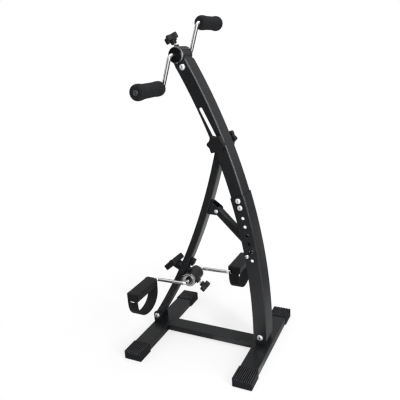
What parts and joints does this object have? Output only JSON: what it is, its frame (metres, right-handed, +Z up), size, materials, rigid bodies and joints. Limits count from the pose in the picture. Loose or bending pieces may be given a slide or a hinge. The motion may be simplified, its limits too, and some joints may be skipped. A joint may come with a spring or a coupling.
{
  "type": "dual exercise bike",
  "caption": "Steel-framed exerciser with a hand crank on a curved tilting mast and a pedal crank with strap pedals on a strut, over a low base.",
  "frame": {"origin": "middle of the base, on the floor", "axes": "+X runs from the rear stabilizer to the mast's foot, +Y to the far side of the pictured view, +Z up"},
  "size_m": [0.4124, 0.405, 0.9866],
  "materials": {
    "steel": "black powder coat",
    "plastic": "black",
    "rubber": "matt black",
    "foam": "closed-cell foam, matt black",
    "chrome": "polished",
    "brass": "plain",
    "display": "clear over a grey display"
  },
  "bodies": {
    "base": {"foot_tube_rear": "steel", "foot_tube_front": "steel", "base_beam": "steel", "end_cap_rear_near": "rubber", "end_cap_rear_far": "rubber", "end_cap_front_near": "rubber", "end_cap_front_far": "rubber", "mast_foot_bracket": "steel", "strut_foot_bracket": "steel", "mast_foot_bolt": "chrome", "strut_foot_bolt": "chrome", "strut_foot_washer": "plastic"},
    "mast": {"mast_lower": "steel", "mast_upper": "steel", "joint_bolt_low": "chrome", "joint_bolt_high": "chrome", "top_bolt": "chrome", "upper_hub": "steel", "upper_ring_near": "chrome", "upper_ring_far": "chrome", "upper_bush_near": "plastic", "upper_bush_far": "plastic"},
    "pin": {"locking_pin": "chrome"},
    "upper_crank": {"upper_crank": "chrome"},
    "grip_near": {"upper_grip_near": "foam"},
    "grip_far": {"upper_grip_far": "foam"},
    "upper_pad": {"upper_tension_pad": "brass"},
    "upper_knob": {"upper_tension_screw": "chrome", "upper_tension_knob": "plastic"},
    "strut": {"strut": "steel", "strut_ears": "steel", "brace_bolt": "chrome", "clamp_bolt": "chrome", "clamp_spacer_near": "plastic", "clamp_spacer_far": "plastic", "lower_hub": "steel", "lower_ring_near": "chrome", "lower_ring_far": "chrome", "lower_bush_near": "plastic", "lower_bush_far": "plastic", "counter_case": "plastic", "counter_window": "display", "counter_sensor": "plastic", "sensor_screw": "chrome"},
    "brace": {"brace": "steel"},
    "clamp_near": {"clamp_knob_near": "plastic"},
    "clamp_far": {"clamp_knob_far": "plastic"},
    "lower_crank": {"lower_crank": "chrome"},
    "pedal_near": {"pedal_near": "plastic", "pedal_strap_near": "rubber"},
    "pedal_far": {"pedal_far": "plastic", "pedal_strap_far": "rubber"},
    "lower_pad": {"lower_tension_pad": "brass"},
    "lower_knob": {"lower_tension_screw": "chrome", "lower_tension_knob": "plastic"},
    "button": {"counter_button": "rubber"}
  },
  "joints": [
    {"name": "mast_tilt", "type": "hinge", "parent": "base", "child": "mast", "pos_m": [0.174, 0, 0.054], "axis": [0, -1, 0], "range_deg": [0, 11]},
    {"name": "strut_swing", "type": "hinge", "parent": "base", "child": "strut", "pos_m": [-0.189, 0, 0.052], "axis": [0, -1, 0], "range_deg": [0, 15.84]},
    {"name": "brace_swing", "type": "hinge", "parent": "strut", "child": "brace", "pos_m": [0.04291, 0, 0.4406], "axis": [0, -1, 0], "range_deg": [0, 0.55]},
    {"name": "upper_crank_turn", "type": "hinge", "parent": "mast", "child": "upper_crank", "pos_m": [-0.0469, 0, 0.88263], "axis": [0, 1, 0], "continuous": true},
    {"name": "lower_crank_turn", "type": "hinge", "parent": "strut", "child": "lower_crank", "pos_m": [-0.05584, 0, 0.20982], "axis": [0, 1, 0], "continuous": true},
    {"name": "grip_turn_near", "type": "hinge", "parent": "upper_crank", "child": "grip_near", "pos_m": [-0.07451, 0, 0.80013], "axis": [0, 1, 0], "continuous": true},
    {"name": "grip_turn_far", "type": "hinge", "parent": "upper_crank", "child": "grip_far", "pos_m": [-0.0193, 0, 0.96514], "axis": [0, 1, 0], "continuous": true},
    {"name": "pedal_turn_near", "type": "hinge", "parent": "lower_crank", "child": "pedal_near", "pos_m": [-0.15783, 0, 0.20804], "axis": [0, 1, 0], "continuous": true},
    {"name": "pedal_turn_far", "type": "hinge", "parent": "lower_crank", "child": "pedal_far", "pos_m": [0.04614, 0, 0.2116], "axis": [0, 1, 0], "continuous": true},
    {"name": "upper_pad_slide", "type": "slide", "parent": "mast", "child": "upper_pad", "axis": [-0.4891, 0, 0.8722], "range_m": [0, 0.001]},
    {"name": "upper_knob_turn", "type": "hinge", "parent": "upper_pad", "child": "upper_knob", "pos_m": [-0.0469, 0, 0.88263], "axis": [-0.4891, 0, 0.8722], "range_deg": [0, 360]},
    {"name": "lower_pad_slide", "type": "slide", "parent": "strut", "child": "lower_pad", "axis": [0.7997, 0, -0.6004], "range_m": [0, 0.001]},
    {"name": "lower_knob_turn", "type": "hinge", "parent": "lower_pad", "child": "lower_knob", "pos_m": [-0.05584, 0, 0.20982], "axis": [0.7997, 0, -0.6004], "range_deg": [0, 360]},
    {"name": "clamp_knob_turn_near", "type": "hinge", "parent": "strut", "child": "clamp_near", "pos_m": [0.06624, 0, 0.64485], "axis": [0, -1, 0], "range_deg": [0, 360]},
    {"name": "clamp_knob_turn_far", "type": "hinge", "parent": "strut", "child": "clamp_far", "pos_m": [0.06624, 0, 0.64485], "axis": [0, 1, 0], "range_deg": [0, 360]},
    {"name": "locking_pin_pull", "type": "slide", "parent": "mast", "child": "pin", "axis": [0, -1, 0], "range_m": [0, 0.12]},
    {"name": "counter_button_press", "type": "slide", "parent": "strut", "child": "button", "axis": [0.6388, 0, -0.7694], "range_m": [0, 0.0012], "stiffness_N_per_m": 400}
  ],
  "couplings": [
    {"joint": "strut_swing", "follows": "mast_tilt", "ratio": 1.44},
    {"joint": "brace_swing", "follows": "mast_tilt", "ratio": 0.05},
    {"joint": "upper_knob_turn", "follows": "upper_pad_slide", "rad_per_m": 6283.2},
    {"joint": "lower_knob_turn", "follows": "lower_pad_slide", "rad_per_m": 6283.2}
  ]
}
